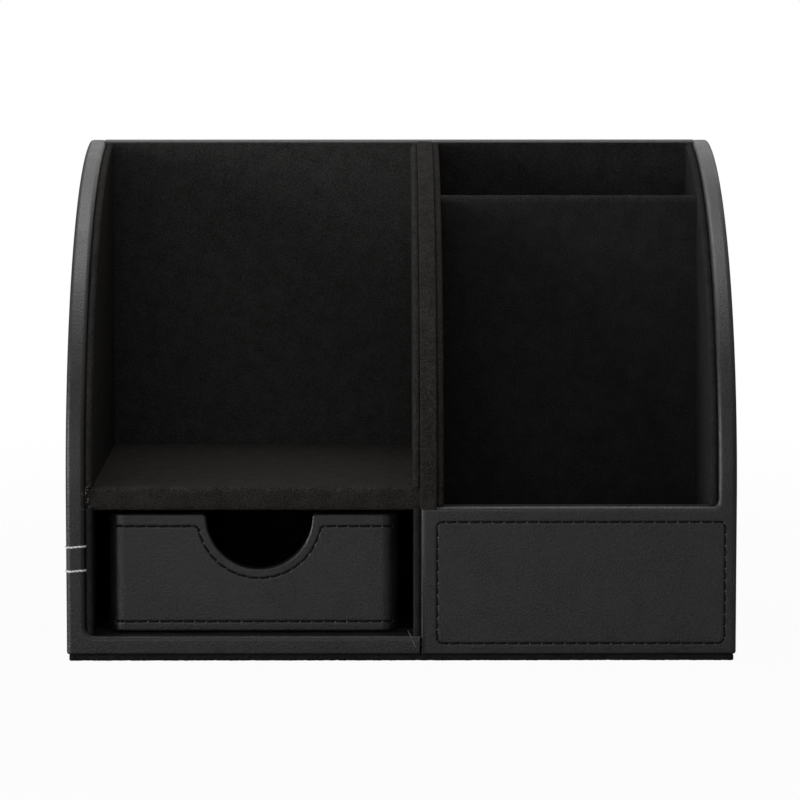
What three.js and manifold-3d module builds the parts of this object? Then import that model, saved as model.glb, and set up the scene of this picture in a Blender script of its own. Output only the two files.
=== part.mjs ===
// A desk organizer box: a case of wrapped boards with a drawer, a memo shelf above it,
// and an upright pen compartment with a partition beside them.
// Lengths are millimetres. The front faces -Y, +Z is up, and the origin is on the desk
// under the middle of the case.

import * as THREE from 'three';
import { mergeVertices } from 'three/addons/utils/BufferGeometryUtils.js';
import Module from 'manifold-3d';

const wasm = await Module();
wasm.setup();

// Outside of the case
const caseWidth = 230;
const caseDepth = 140;
const caseHeight = 173;
const straightFrontHeight = 56;
const archOverhang = 12;

// Bays inside the case
const leftBayWidth = 110;
const drawerBayHeight = 43.8;
const shelfSetback = 2;
const frontPanelHeight = 51.3;
const partitionDepth = 74;

// Boards and what covers them
const boardThickness = 5.4;
const partitionBoardThickness = 3;
const leatherThickness = 0.6;
const velvetThickness = 0.9;
const liningThickness = 2.5;
const feltThickness = 2.1;

// Leather and velvet work
const leatherEdgeRadius = 1.2;
const sideEdgeRadius = 2;
const velvetEdgeRadius = 2;
const turnInWidth = 12;
const liningSetback = 1;
const feltSetback = 0.8;
const glueGap = 0.3;

// Brads that hold the boards
const bradRadius = 0.6;
const bradLength = 16;

// Drawer
const drawerSideClearance = 5.2;
const drawerTopClearance = 2.7;
const drawerRecess = 7;
const drawerRunGap = 0.3;
const drawerCornerRadius = 5;
const drawerBoardThickness = 4;
const drawerFloorThickness = 3;
const drawerLiningThickness = 1;
const drawerTurnInWidth = 8;
const drawerLiningDrop = 2;
const notchRadius = 18;
const notchCornerRadius = 1.2;
const notchOffset = 2;

// Where the brads sit along each joint
const bradDepthShares = [0.2, 0.8];
const bradHeightShares = [0.3, 0.75];

// Every cut runs past the face that it opens by this much
const overrun = 2;

// How finely the round stretches are divided
const archSteps = 32;
const edgeSteps = 3;
const cornerSteps = 8;
const notchSteps = 28;
const bradSides = 10;
const gridPerMillimetre = 1024;

// Planes across the width
const halfWidth = caseWidth / 2;
const wrappedThickness = boardThickness + 2 * leatherThickness;
const boardOuterX = halfWidth - leatherThickness;
const boardInnerX = boardOuterX - boardThickness;
const coverInnerX = halfWidth - wrappedThickness;
const liningFaceX = coverInnerX - liningThickness;
const dividerLeftX = -liningFaceX + leftBayWidth;
const dividerBoardLeftX = dividerLeftX + liningThickness;
const dividerBoardRightX = dividerBoardLeftX + boardThickness;
const dividerRightX = dividerBoardRightX + liningThickness;
const frontPanelRightX = boardOuterX - glueGap;

// Planes along the depth
const front = -caseDepth / 2;
const rear = caseDepth / 2;
const boardFront = front + leatherThickness;
const frontPanelBoardRear = boardFront + boardThickness;
const frontPanelRear = front + wrappedThickness;
const backBoardRear = rear - leatherThickness;
const backBoardFront = backBoardRear - boardThickness;
const backPanelFront = rear - wrappedThickness;
const backLiningFace = backPanelFront - liningThickness;

// Planes up the height
const caseFloor = feltThickness;
const baseBottom = caseFloor + leatherThickness;
const baseTop = baseBottom + boardThickness;
const baseWrapTop = baseTop + leatherThickness;
const floorTop = baseTop + velvetThickness;
const frontPanelTop = caseFloor + frontPanelHeight;
const shelfBottom = floorTop + drawerBayHeight;
const shelfTop = shelfBottom + boardThickness + 2 * velvetThickness;
const liningTop = caseHeight - liningSetback;

// The arch over the sides: part of an ellipse that would level out behind the back
const archCentreY = rear + archOverhang;
const archReach = caseDepth + archOverhang;
const archRise = (caseHeight - straightFrontHeight) / Math.sqrt(1 - (archOverhang / archReach) ** 2);

const finishes = {
  leather: { color: 0x2b2b2d, roughness: 0.5, metalness: 0 },
  velvet: { color: 0x17171a, roughness: 1, metalness: 0 },
  fibreboard: { color: 0x8a6a48, roughness: 0.85, metalness: 0 },
  felt: { color: 0x1b1b1d, roughness: 1, metalness: 0 },
  steel: { color: 0xb4b6b8, roughness: 0.35, metalness: 1 },
};

// A closed geometry as a solid that can be cut and joined. Its points lie on a fine grid
// that 32-bit numbers hold exactly, so that flat faces which touch share one plane.
function solidOf(geometry) {
  geometry.deleteAttribute('normal');
  geometry.deleteAttribute('uv');
  const merged = mergeVertices(geometry);
  const onGrid = (length) => Math.round(length * gridPerMillimetre) / gridPerMillimetre;
  const vertProperties = new Float32Array(merged.attributes.position.array).map(onGrid);
  const triVerts = new Uint32Array(merged.index.array);
  return new wasm.Manifold(new wasm.Mesh({ numProp: 3, vertProperties, triVerts }));
}

function meshOf(name, solid, finish) {
  const { vertProperties, triVerts } = solid.getMesh();
  const geometry = new THREE.BufferGeometry();
  geometry.setAttribute('position', new THREE.BufferAttribute(vertProperties, 3));
  geometry.setIndex(new THREE.BufferAttribute(triVerts, 1));
  geometry.computeVertexNormals();
  const mesh = new THREE.Mesh(geometry, new THREE.MeshStandardMaterial(finishes[finish]));
  mesh.name = name;
  return mesh;
}

// An outline drawn out along +Z, with its two end edges rounded by edgeRadius
function drawnOut(points, length, edgeRadius) {
  const geometry = new THREE.ExtrudeGeometry(new THREE.Shape(points), {
    depth: length - 2 * edgeRadius,
    bevelEnabled: edgeRadius > 0,
    bevelThickness: edgeRadius,
    bevelSize: edgeRadius,
    bevelOffset: -edgeRadius,
    bevelSegments: edgeSteps,
  });
  geometry.translate(0, 0, edgeRadius);
  return geometry;
}

const axisX = new THREE.Vector3(1, 0, 0);
const axisY = new THREE.Vector3(0, 1, 0);
const axisZ = new THREE.Vector3(0, 0, 1);

// A Y-Z outline between two X planes
function alongX(points, x0, x1, edgeRadius = 0) {
  const place = new THREE.Matrix4().makeBasis(axisY, axisZ, axisX).setPosition(x0, 0, 0);
  return solidOf(drawnOut(points, x1 - x0, edgeRadius).applyMatrix4(place));
}

// An X-Z outline between two Y planes
function alongY(points, y0, y1, edgeRadius = 0) {
  const place = new THREE.Matrix4().makeBasis(axisX, axisZ, axisY.clone().negate());
  place.setPosition(0, y1, 0);
  return solidOf(drawnOut(points, y1 - y0, edgeRadius).applyMatrix4(place));
}

// An X-Y outline between two Z planes
function alongZ(points, z0, z1, edgeRadius = 0) {
  return solidOf(drawnOut(points, z1 - z0, edgeRadius).translate(0, 0, z0));
}

function rectangle(u0, u1, v0, v1) {
  return [
    new THREE.Vector2(u0, v0),
    new THREE.Vector2(u1, v0),
    new THREE.Vector2(u1, v1),
    new THREE.Vector2(u0, v1),
  ];
}

function block(x0, x1, y0, y1, z0, z1) {
  return alongZ(rectangle(x0, x1, y0, y1), z0, z1);
}

// Points of an arc about a centre, from one angle to another, both ends included
function arcPoints(centreU, centreV, radius, fromAngle, toAngle, steps) {
  const points = [];
  for (let i = 0; i <= steps; i += 1) {
    const angle = THREE.MathUtils.lerp(fromAngle, toAngle, i / steps);
    points.push(new THREE.Vector2(
      centreU + radius * Math.cos(angle),
      centreV + radius * Math.sin(angle),
    ));
  }
  return points;
}

// A rectangle whose four corners are rounded
function roundedRectangle(u0, u1, v0, v1, radius, steps) {
  const quarter = Math.PI / 2;
  return [
    ...arcPoints(u1 - radius, v1 - radius, radius, 0, quarter, steps),
    ...arcPoints(u0 + radius, v1 - radius, radius, quarter, 2 * quarter, steps),
    ...arcPoints(u0 + radius, v0 + radius, radius, 2 * quarter, 3 * quarter, steps),
    ...arcPoints(u1 - radius, v0 + radius, radius, 3 * quarter, 4 * quarter, steps),
  ];
}

// The profile of the case in the Y-Z plane: a straight front edge, then the arch. It lies
// inside the case's outline by inset, starts at the height bottom, stops at the height top
// if that is given, and ends at the plane y = back.
function caseProfile({ inset, bottom, back, top = Infinity }) {
  if (top <= straightFrontHeight) {
    return rectangle(front + inset, back, bottom, top);
  }
  const reach = archReach - inset;
  const rise = archRise - inset;
  const riseShare = (z) => THREE.MathUtils.clamp((z - straightFrontHeight) / rise, 0, 1);
  const startAngle = Math.asin(riseShare(bottom));
  const topAngle = Math.asin(riseShare(top));
  const backAngle = Math.acos(THREE.MathUtils.clamp((archCentreY - back) / reach, 0, 1));
  const endAngle = Math.min(topAngle, backAngle);
  const quarter = Math.PI / 2;
  const steps = Math.max(1, Math.round(archSteps * (endAngle - startAngle) / quarter));
  const points = [];
  if (bottom < straightFrontHeight) {
    points.push(new THREE.Vector2(front + inset, bottom));
  }
  for (let i = 0; i <= steps; i += 1) {
    const angle = THREE.MathUtils.lerp(startAngle, endAngle, i / steps);
    points.push(new THREE.Vector2(
      archCentreY - reach * Math.cos(angle),
      straightFrontHeight + rise * Math.sin(angle),
    ));
  }
  if (topAngle < backAngle || back > archCentreY) {
    points.push(new THREE.Vector2(back, points.at(-1).y));
  }
  points.push(new THREE.Vector2(back, bottom));
  return points;
}

// Height of the case's outline at a plane across it
function profileHeight(y) {
  const along = (archCentreY - y) / archReach;
  return straightFrontHeight + archRise * Math.sqrt(1 - along * along);
}

// The room that the front panel takes out of the pieces behind and beside it
function frontPanelRoom(x0, x1) {
  return block(x0, x1, front - overrun, frontPanelRear, -overrun, frontPanelTop + glueGap);
}

// Brads: each is a pin and the hole that the boards get for it
function brad(name, direction, place) {
  const turn = new THREE.Quaternion().setFromUnitVectors(axisY, direction);
  const pin = new THREE.CylinderGeometry(bradRadius, bradRadius, bradLength, bradSides);
  pin.translate(0, bradLength / 2, 0).applyQuaternion(turn).translate(...place.toArray());
  const holeRadius = bradRadius + glueGap;
  const holeLength = bradLength + glueGap + overrun;
  const hole = new THREE.CylinderGeometry(holeRadius, holeRadius, holeLength, bradSides);
  hole.translate(0, holeLength / 2 - overrun, 0).applyQuaternion(turn).translate(...place.toArray());
  return { name, pin: solidOf(pin), hole: solidOf(hole) };
}

function caseBrads() {
  const places = ['front', 'rear'];
  const levels = ['lower', 'upper'];
  const baseMiddle = (baseBottom + baseTop) / 2;
  const shelfMiddle = (shelfBottom + shelfTop) / 2;
  const backMiddle = (backBoardFront + backBoardRear) / 2;
  const dividerMiddle = (dividerBoardLeftX + dividerBoardRightX) / 2;
  const headX = boardOuterX - glueGap;
  const inwards = { left: axisX, right: axisX.clone().negate() };
  const brads = [];
  for (const side of ['left', 'right']) {
    const x = side === 'left' ? -headX : headX;
    places.forEach((place, i) => {
      const y = THREE.MathUtils.lerp(front, rear, bradDepthShares[i]);
      brads.push(brad(`${side}_base_brad_${place}`, inwards[side], new THREE.Vector3(x, y, baseMiddle)));
    });
    levels.forEach((level, i) => {
      const z = caseHeight * bradHeightShares[i];
      brads.push(brad(`${side}_back_brad_${level}`, inwards[side], new THREE.Vector3(x, backMiddle, z)));
    });
  }
  places.forEach((place, i) => {
    const y = THREE.MathUtils.lerp(front, rear, bradDepthShares[i]);
    const shelfPlace = new THREE.Vector3(-headX, y, shelfMiddle);
    const dividerPlace = new THREE.Vector3(dividerMiddle, y, baseBottom + glueGap);
    brads.push(brad(`shelf_brad_${place}`, axisX, shelfPlace));
    brads.push(brad(`divider_brad_${place}`, axisZ, dividerPlace));
  });
  return brads;
}

const brads = caseBrads();
const bradHoles = brads.map(({ hole }) => hole).reduce((all, hole) => all.add(hole));
const drilled = (board) => board.subtract(bradHoles);

// Side walls: a board with sanded edges, and leather that wraps its outside and edges and
// is turned in behind the curved front edge
const sideBoardEdgeRadius = sideEdgeRadius - leatherThickness;

function sideBoard(x0, x1) {
  const outline = caseProfile({
    inset: leatherThickness + glueGap,
    bottom: baseBottom,
    back: backBoardRear,
  });
  return alongX(outline, x0, x1, sideBoardEdgeRadius);
}

function sideCover(side) {
  const span = (near, far) => (side === 'left' ? [-near, -far] : [far, near]);
  const outer = alongX(
    caseProfile({ inset: 0, bottom: caseFloor, back: rear }),
    ...span(halfWidth, coverInnerX),
    sideEdgeRadius,
  );
  const boardRoom = alongX(
    caseProfile({ inset: leatherThickness, bottom: baseBottom, back: backBoardRear }),
    ...span(boardOuterX, boardInnerX),
    sideBoardEdgeRadius,
  );
  const behindTurnIn = alongX(
    caseProfile({
      inset: leatherThickness + turnInWidth,
      bottom: caseFloor - overrun,
      back: rear + overrun,
    }),
    ...span(boardInnerX, coverInnerX - overrun),
  );
  const [x0, x1] = span(boardInnerX, coverInnerX - overrun);
  const backRoom = block(x0, x1, backPanelFront, rear + overrun, 0, caseHeight + overrun);
  const baseRoom = block(x0, x1, front - overrun, rear + overrun, 0, baseWrapTop);
  return outer.subtract(boardRoom).subtract(behindTurnIn).subtract(backRoom).subtract(baseRoom);
}

function sideLining(x0, x1, limits) {
  return alongX(caseProfile({ inset: liningSetback, back: backPanelFront, ...limits }), x0, x1);
}

function sideWalls() {
  const belowShelf = { bottom: baseWrapTop, top: shelfBottom };
  const aboveShelf = { bottom: shelfTop };
  const full = { bottom: baseWrapTop };
  const rightCover = sideCover('right')
    .subtract(frontPanelRoom(coverInnerX - overrun, boardOuterX));
  const rightBoard = sideBoard(boardInnerX, boardOuterX)
    .subtract(frontPanelRoom(boardInnerX - overrun, boardOuterX + overrun));
  const rightLining = sideLining(liningFaceX, coverInnerX, full)
    .subtract(frontPanelRoom(liningFaceX - overrun, coverInnerX + overrun));
  return [
    meshOf('left_side_board', drilled(sideBoard(-boardOuterX, -boardInnerX)), 'fibreboard'),
    meshOf('left_side_cover', sideCover('left'), 'leather'),
    meshOf('left_side_lining_upper', sideLining(-coverInnerX, -liningFaceX, aboveShelf), 'velvet'),
    meshOf('left_side_lining_lower', sideLining(-coverInnerX, -liningFaceX, belowShelf), 'velvet'),
    meshOf('right_side_board', drilled(rightBoard), 'fibreboard'),
    meshOf('right_side_cover', rightCover, 'leather'),
    meshOf('right_side_lining', rightLining, 'velvet'),
  ];
}

// Base: a board that gives way to the front panel, the leather over its front edge, the
// felt that the case stands on, and the velvet floors of the three bays
function base() {
  const panelSide = dividerBoardLeftX - glueGap;
  const boardOutline = [
    new THREE.Vector2(-boardInnerX, boardFront),
    new THREE.Vector2(panelSide, boardFront),
    new THREE.Vector2(panelSide, frontPanelRear),
    new THREE.Vector2(boardInnerX, frontPanelRear),
    new THREE.Vector2(boardInnerX, backBoardFront),
    new THREE.Vector2(-boardInnerX, backBoardFront),
  ];
  const wrapOutline = [
    ...arcPoints(
      front + leatherEdgeRadius,
      baseWrapTop - leatherEdgeRadius,
      leatherEdgeRadius,
      Math.PI / 2,
      Math.PI,
      edgeSteps,
    ),
    ...arcPoints(
      front + leatherEdgeRadius,
      caseFloor + leatherEdgeRadius,
      leatherEdgeRadius,
      Math.PI,
      3 * Math.PI / 2,
      edgeSteps,
    ),
    new THREE.Vector2(boardFront + turnInWidth, caseFloor),
    new THREE.Vector2(boardFront + turnInWidth, baseBottom),
    new THREE.Vector2(boardFront, baseBottom),
    new THREE.Vector2(boardFront, baseTop),
    new THREE.Vector2(boardFront + turnInWidth, baseTop),
    new THREE.Vector2(boardFront + turnInWidth, baseWrapTop),
  ];
  const feltOutline = rectangle(
    -halfWidth + feltSetback,
    halfWidth - feltSetback,
    front + feltSetback,
    rear - feltSetback,
  );
  const floor = (x0, x1, y0, y1) => block(x0, x1, y0, y1, baseTop, floorTop);
  const drawerFloor = floor(
    -liningFaceX,
    dividerLeftX,
    boardFront + turnInWidth + glueGap,
    backLiningFace,
  );
  const penFloor = floor(
    dividerRightX,
    liningFaceX,
    frontPanelRear + liningThickness,
    partitionFront,
  );
  const rearFloor = floor(dividerRightX, liningFaceX, partitionRear, backLiningFace);
  return [
    meshOf('base_board', drilled(alongZ(boardOutline, baseBottom, baseTop)), 'fibreboard'),
    meshOf('base_front_wrap', alongX(wrapOutline, -coverInnerX, panelSide), 'leather'),
    meshOf('base_felt', alongZ(feltOutline, 0, feltThickness), 'felt'),
    meshOf('drawer_bay_floor_velvet', drawerFloor, 'velvet'),
    meshOf('pen_bay_floor_velvet', penFloor, 'velvet'),
    meshOf('rear_bay_floor_velvet', rearFloor, 'velvet'),
  ];
}

// Back wall between the sides, with its leather turned in over the top edge
function backWall() {
  const board = block(
    -boardInnerX,
    boardInnerX,
    backBoardFront,
    backBoardRear,
    baseBottom,
    caseHeight - leatherThickness,
  );
  const edge = boardInnerX - glueGap;
  const coverTopArc = (y, fromAngle) => arcPoints(
    y,
    caseHeight - leatherEdgeRadius,
    leatherEdgeRadius,
    fromAngle,
    fromAngle + Math.PI / 2,
    edgeSteps,
  );
  const coverOutline = [
    new THREE.Vector2(backBoardRear, caseFloor),
    new THREE.Vector2(rear, caseFloor),
    ...coverTopArc(rear - leatherEdgeRadius, 0),
    ...coverTopArc(backPanelFront + leatherEdgeRadius, Math.PI / 2),
    new THREE.Vector2(backPanelFront, caseHeight - leatherThickness - turnInWidth),
    new THREE.Vector2(backBoardFront, caseHeight - leatherThickness - turnInWidth),
    new THREE.Vector2(backBoardFront, caseHeight - leatherThickness),
    new THREE.Vector2(backBoardRear, caseHeight - leatherThickness),
  ];
  const lining = (x0, x1, z0, z1) => block(x0, x1, backLiningFace, backPanelFront, z0, z1);
  return [
    meshOf('back_board', drilled(board), 'fibreboard'),
    meshOf('back_cover', alongX(coverOutline, -edge, edge), 'leather'),
    meshOf('back_lining_left_upper', lining(-liningFaceX, dividerLeftX, shelfTop, liningTop), 'velvet'),
    meshOf('back_lining_left_lower', lining(-liningFaceX, dividerLeftX, baseWrapTop, shelfBottom), 'velvet'),
    meshOf('back_lining_right', lining(dividerRightX, liningFaceX, baseWrapTop, liningTop), 'velvet'),
  ];
}

// Divider between the bays: a board with a velvet strip over its curved front edge, and a
// lining on each side
function divider() {
  const x0 = dividerBoardLeftX;
  const x1 = dividerBoardRightX;
  const board = alongX(
    caseProfile({ inset: velvetThickness + glueGap, bottom: baseTop, back: backPanelFront }),
    x0,
    x1,
  ).subtract(frontPanelRoom(x0 - overrun, x1 + overrun));
  const stripFoot = frontPanelTop + glueGap;
  const strip = alongX(
    caseProfile({ inset: 0, bottom: stripFoot, back: backPanelFront }),
    x0,
    x1,
  ).subtract(alongX(
    caseProfile({ inset: velvetThickness, bottom: stripFoot - overrun, back: backPanelFront + overrun }),
    x0 - overrun,
    x1 + overrun,
  ));
  const rightLining = sideLining(x1, dividerRightX, { bottom: baseWrapTop })
    .subtract(frontPanelRoom(x1 - overrun, dividerRightX + overrun));
  const leftUpper = sideLining(dividerLeftX, x0, { bottom: shelfTop });
  const leftLower = sideLining(dividerLeftX, x0, { bottom: baseWrapTop, top: shelfBottom });
  return [
    meshOf('divider_board', drilled(board), 'fibreboard'),
    meshOf('divider_edge_strip', strip, 'velvet'),
    meshOf('divider_lining_left_upper', leftUpper, 'velvet'),
    meshOf('divider_lining_left_lower', leftLower, 'velvet'),
    meshOf('divider_lining_right', rightLining, 'velvet'),
  ];
}

// Shelf over the drawer, with velvet round its front edge and over both faces
function shelf() {
  const x0 = -coverInnerX;
  const x1 = dividerBoardLeftX;
  const velvetFront = front + shelfSetback;
  const boardEdge = velvetFront + velvetThickness;
  const radius = velvetEdgeRadius;
  const board = block(
    x0,
    x1,
    boardEdge,
    backPanelFront,
    shelfBottom + velvetThickness,
    shelfTop - velvetThickness,
  );
  const velvetOutline = [
    ...arcPoints(velvetFront + radius, shelfTop - radius, radius, Math.PI / 2, Math.PI, edgeSteps),
    ...arcPoints(velvetFront + radius, shelfBottom + radius, radius, Math.PI, 3 * Math.PI / 2, edgeSteps),
    new THREE.Vector2(backPanelFront, shelfBottom),
    new THREE.Vector2(backPanelFront, shelfBottom + velvetThickness),
    new THREE.Vector2(boardEdge, shelfBottom + velvetThickness),
    new THREE.Vector2(boardEdge, shelfTop - velvetThickness),
    new THREE.Vector2(backPanelFront, shelfTop - velvetThickness),
    new THREE.Vector2(backPanelFront, shelfTop),
  ];
  return [
    meshOf('shelf_board', drilled(board), 'fibreboard'),
    meshOf('shelf_velvet', alongX(velvetOutline, x0, x1), 'velvet'),
  ];
}

// Partition in the right bay, level with the case's curve at its front face
const partitionFront = front + partitionDepth;
const partitionRear = partitionFront + partitionBoardThickness + 2 * velvetThickness;
const partitionTop = profileHeight(partitionFront) - liningSetback;

function partition() {
  const y0 = partitionFront + velvetThickness;
  const y1 = partitionRear - velvetThickness;
  const radius = Math.min(velvetEdgeRadius, (partitionRear - partitionFront) / 2);
  const arcHeight = partitionTop - radius;
  const boardTop = partitionTop - velvetThickness;
  const velvetOutline = [
    new THREE.Vector2(y1, baseTop),
    new THREE.Vector2(partitionRear, baseTop),
    ...arcPoints(partitionRear - radius, arcHeight, radius, 0, Math.PI / 2, edgeSteps),
    ...arcPoints(partitionFront + radius, arcHeight, radius, Math.PI / 2, Math.PI, edgeSteps),
    new THREE.Vector2(partitionFront, baseTop),
    new THREE.Vector2(y0, baseTop),
    new THREE.Vector2(y0, boardTop),
    new THREE.Vector2(y1, boardTop),
  ];
  return [
    meshOf('partition_board', block(dividerRightX, liningFaceX, y0, y1, baseTop, boardTop), 'fibreboard'),
    meshOf('partition_velvet', alongX(velvetOutline, dividerRightX, liningFaceX), 'velvet'),
  ];
}

// Low front panel of the right bay: it closes the fronts of the divider and the right side
function frontPanel() {
  const x0 = dividerBoardLeftX;
  const x1 = frontPanelRightX;
  const outer = alongY(
    rectangle(x0, x1, caseFloor, frontPanelTop),
    front,
    frontPanelRear,
    leatherEdgeRadius,
  );
  const board = block(
    x0 + leatherThickness,
    x1 - leatherThickness,
    boardFront,
    frontPanelBoardRear,
    baseBottom,
    frontPanelTop - leatherThickness,
  );
  const behindTurnIn = block(
    x0 - overrun,
    x1 + overrun,
    frontPanelBoardRear,
    frontPanelRear + overrun,
    0,
    frontPanelTop - leatherThickness - turnInWidth,
  );
  const lining = block(
    dividerRightX,
    liningFaceX,
    frontPanelRear,
    frontPanelRear + liningThickness,
    baseWrapTop,
    frontPanelTop - liningSetback,
  );
  return [
    meshOf('front_panel_board', board, 'fibreboard'),
    meshOf('front_panel_cover', outer.subtract(board).subtract(behindTurnIn), 'leather'),
    meshOf('front_panel_lining', lining, 'velvet'),
  ];
}

// Drawer, in its own frame: the origin is at the middle of its front, under its floor
const drawerWidth = leftBayWidth - 2 * drawerSideClearance;
const drawerLength = backLiningFace - drawerRunGap - (front + drawerRecess);
const drawerHeight = drawerBayHeight - drawerTopClearance - drawerRunGap;
const drawerWallOuter = leatherThickness + glueGap;
const drawerWallInner = drawerWallOuter + drawerBoardThickness;
const drawerLipInner = drawerWallInner + leatherThickness;
const drawerFloorTop = leatherThickness + drawerFloorThickness;
const drawerWallTop = drawerHeight - leatherThickness;

function drawerOutline(inset) {
  const radius = drawerCornerRadius - inset;
  const half = drawerWidth / 2 - inset;
  const end = drawerLength - inset;
  if (radius <= 0) {
    return rectangle(-half, half, inset, end);
  }
  return roundedRectangle(-half, half, inset, end, radius, cornerSteps);
}

// The finger notch, grown by the thickness of what lines it: a half round whose upper
// corners are rounded off into the drawer's top edge
function notch(growth, y1) {
  const radius = notchRadius + growth;
  const corner = Math.max(notchCornerRadius - growth, 0);
  const centreZ = drawerHeight - notchCornerRadius;
  const reach = notchRadius + notchCornerRadius;
  const outline = [
    new THREE.Vector2(notchOffset - reach, drawerHeight + overrun),
    ...arcPoints(notchOffset - reach, centreZ, corner, Math.PI / 2, 0, edgeSteps),
    ...arcPoints(notchOffset, centreZ, radius, Math.PI, 2 * Math.PI, notchSteps),
    ...arcPoints(notchOffset + reach, centreZ, corner, Math.PI, Math.PI / 2, edgeSteps),
    new THREE.Vector2(notchOffset + reach, drawerHeight + overrun),
  ];
  return alongY(outline, -overrun, y1);
}

function drawerBoards() {
  const half = drawerWidth / 2;
  const shell = alongZ(drawerOutline(drawerWallOuter), leatherThickness, drawerWallTop);
  const wall = (x0, x1, y0, y1) => shell.intersect(block(x0, x1, y0, y1, 0, drawerHeight));
  const inner = half - drawerWallInner;
  const farEnd = drawerLength - drawerWallInner;
  const boardNotch = notch(leatherThickness + glueGap, drawerWallInner + overrun);
  const frontBoard = wall(-half, half, 0, drawerWallInner).subtract(boardNotch);
  const bottom = block(-inner, inner, drawerWallInner, farEnd, leatherThickness, drawerFloorTop);
  return [
    meshOf('drawer_front_board', frontBoard, 'fibreboard'),
    meshOf('drawer_back_board', wall(-half, half, farEnd, drawerLength), 'fibreboard'),
    meshOf('drawer_left_board', wall(-half, -inner, drawerWallInner, farEnd), 'fibreboard'),
    meshOf('drawer_right_board', wall(inner, half, drawerWallInner, farEnd), 'fibreboard'),
    meshOf('drawer_bottom_board', bottom, 'fibreboard'),
  ];
}

// Leather round the drawer's four walls, over their top edge and the notch, and turned in
function drawerWrap() {
  const half = drawerWidth / 2;
  const outer = alongZ(drawerOutline(0), 0, drawerHeight, leatherEdgeRadius);
  const walls = alongZ(drawerOutline(leatherThickness), -overrun, drawerWallTop);
  const insideWalls = block(
    -half + drawerWallInner,
    half - drawerWallInner,
    drawerWallInner,
    drawerLength - drawerWallInner,
    -overrun,
    drawerHeight,
  );
  const wallRoom = walls.subtract(insideWalls)
    .subtract(notch(leatherThickness, drawerWallInner + overrun));
  const belowTurnIn = block(
    -half + drawerWallInner,
    half - drawerWallInner,
    drawerWallInner,
    drawerLength - drawerWallInner,
    -overrun,
    drawerWallTop - drawerTurnInWidth,
  );
  const inside = block(
    -half + drawerLipInner,
    half - drawerLipInner,
    drawerLipInner,
    drawerLength - drawerLipInner,
    -overrun,
    drawerHeight + overrun,
  );
  return outer
    .subtract(wallRoom)
    .subtract(belowTurnIn)
    .subtract(inside)
    .subtract(notch(0, drawerLipInner + overrun));
}

function drawerLinings() {
  const outerX = drawerWidth / 2 - drawerLipInner;
  const innerX = outerX - drawerLiningThickness;
  const y0 = drawerLipInner;
  const y1 = y0 + drawerLiningThickness;
  const y3 = drawerLength - drawerLipInner;
  const y2 = y3 - drawerLiningThickness;
  const z0 = drawerFloorTop;
  const z1 = z0 + drawerLiningThickness;
  const z2 = drawerHeight - drawerLiningDrop;
  const frontLining = block(-outerX, outerX, y0, y1, z1, z2)
    .subtract(notch(drawerLiningDrop, y1 + overrun));
  return [
    meshOf('drawer_front_lining', frontLining, 'velvet'),
    meshOf('drawer_back_lining', block(-outerX, outerX, y2, y3, z1, z2), 'velvet'),
    meshOf('drawer_left_lining', block(-outerX, -innerX, y1, y2, z1, z2), 'velvet'),
    meshOf('drawer_right_lining', block(innerX, outerX, y1, y2, z1, z2), 'velvet'),
    meshOf('drawer_floor_lining', block(-outerX, outerX, y0, y3, z0, z1), 'velvet'),
  ];
}

function drawer() {
  const bottomCover = alongZ(drawerOutline(drawerWallOuter), 0, leatherThickness);
  const group = new THREE.Group();
  group.name = 'drawer';
  group.add(...drawerBoards());
  group.add(meshOf('drawer_wrap', drawerWrap(), 'leather'));
  group.add(meshOf('drawer_bottom_cover', bottomCover, 'leather'));
  group.add(...drawerLinings());
  group.position.set(
    -liningFaceX + leftBayWidth / 2,
    front + drawerRecess,
    floorTop + drawerRunGap,
  );
  return group;
}

const caseGroup = new THREE.Group();
caseGroup.name = 'case';
caseGroup.add(...base(), ...sideWalls(), ...backWall(), ...divider());
caseGroup.add(...shelf(), ...partition(), ...frontPanel());
caseGroup.add(...brads.map(({ name, pin }) => meshOf(name, pin, 'steel')));

const organizer = new THREE.Group();
organizer.name = 'desk_organizer_box';
organizer.add(caseGroup, drawer());

export default organizer;
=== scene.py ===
"""Looks of the desk organizer box: leather, velvet, stitching, light and camera.

Lengths are metres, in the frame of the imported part: the front faces -Y, +Z is up, and the
origin is on the desk under the middle of the box.
"""

import bisect
import math
import random

import bmesh
import bpy
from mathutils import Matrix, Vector, noise

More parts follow.
